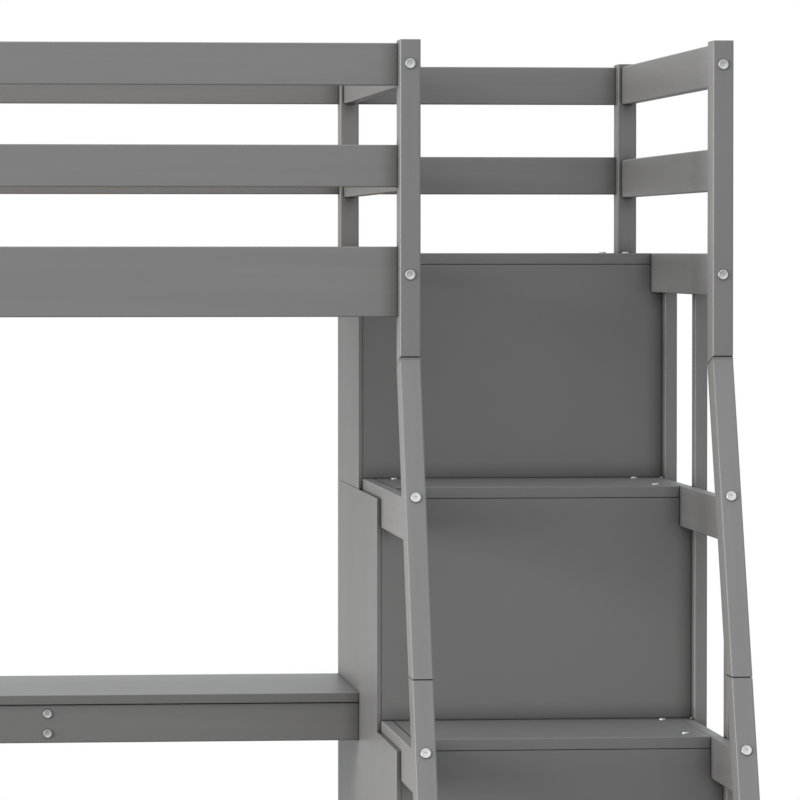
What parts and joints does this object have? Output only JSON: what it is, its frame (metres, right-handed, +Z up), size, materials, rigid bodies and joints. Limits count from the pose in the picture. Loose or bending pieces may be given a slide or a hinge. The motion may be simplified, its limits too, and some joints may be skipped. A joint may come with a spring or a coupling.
{
  "type": "loft bed with desk",
  "caption": "Grey painted loft bed with guard rails, a long desk below it and a storage staircase with a landing at its right-hand end.",
  "frame": {"origin": "on the floor, under the middle of the whole outline", "axes": "+X along the bed towards the stairs, +Y from the front to the back, +Z up"},
  "size_m": [2.4804, 1.5929, 1.784],
  "materials": {
    "painted_wood": "satin grey paint on sanded pine",
    "painted_board": "satin grey paint on smooth fibreboard",
    "plain_pine": "planed, unpainted",
    "plain_beech": "turned, unpainted",
    "zinc_steel": "bright zinc plate"
  },
  "bodies": {
    "root": {"back_guard_rail_middle": "painted_wood", "back_guard_rail_top": "painted_wood", "back_post_left": "painted_wood", "back_post_middle": "painted_wood", "back_post_right": "painted_wood", "back_side_rail": "painted_wood", "barrel_nuts": "zinc_steel", "bed_slats": "plain_pine", "bottom_boards": "painted_wood", "centre_beam": "painted_wood", "connector_bolts": "zinc_steel", "desk_apron": "painted_wood", "desk_back_rail": "painted_wood", "desk_cross_rails": "painted_wood", "desk_end_cleats": "painted_wood", "desk_top": "painted_board", "front_guard_rail_middle": "painted_wood", "front_guard_rail_top": "painted_wood", "front_post_left": "painted_wood", "front_post_middle": "painted_wood", "front_post_right": "painted_wood", "front_side_rail": "painted_wood", "joint_dowels": "plain_beech", "landing": "painted_board", "left_desk_board": "painted_wood", "left_guard_board_middle": "painted_wood", "left_guard_board_top": "painted_wood", "left_landing_board": "painted_wood", "leg_lower_middle": "painted_wood", "leg_lower_right": "painted_wood", "leg_upper_middle": "painted_wood", "leg_upper_right": "painted_wood", "middle_guard_board_middle": "painted_wood", "middle_guard_board_top": "painted_wood", "middle_landing_board": "painted_wood", "right_guard_board_middle": "painted_wood", "right_guard_board_top": "painted_wood", "right_landing_board": "painted_wood", "riser_1": "painted_board", "riser_2": "painted_board", "riser_3": "painted_board", "riser_4": "painted_board", "slat_ledges": "painted_wood", "stair_back_rail_landing": "painted_wood", "stair_back_rail_middle": "painted_wood", "stair_back_rail_top": "painted_wood", "stair_panel_lower": "painted_board", "stair_panel_upper": "painted_board", "stair_uprights": "painted_wood", "step_1_board_left": "painted_wood", "step_1_board_right": "painted_wood", "step_2_board_left": "painted_wood", "step_2_board_right": "painted_wood", "step_3_board_left": "painted_wood", "step_3_board_right": "painted_wood", "step_cleats": "painted_wood", "tread_1": "painted_board", "tread_2": "painted_board", "tread_3": "painted_board", "tread_screws": "zinc_steel"}
  },
  "joints": []
}
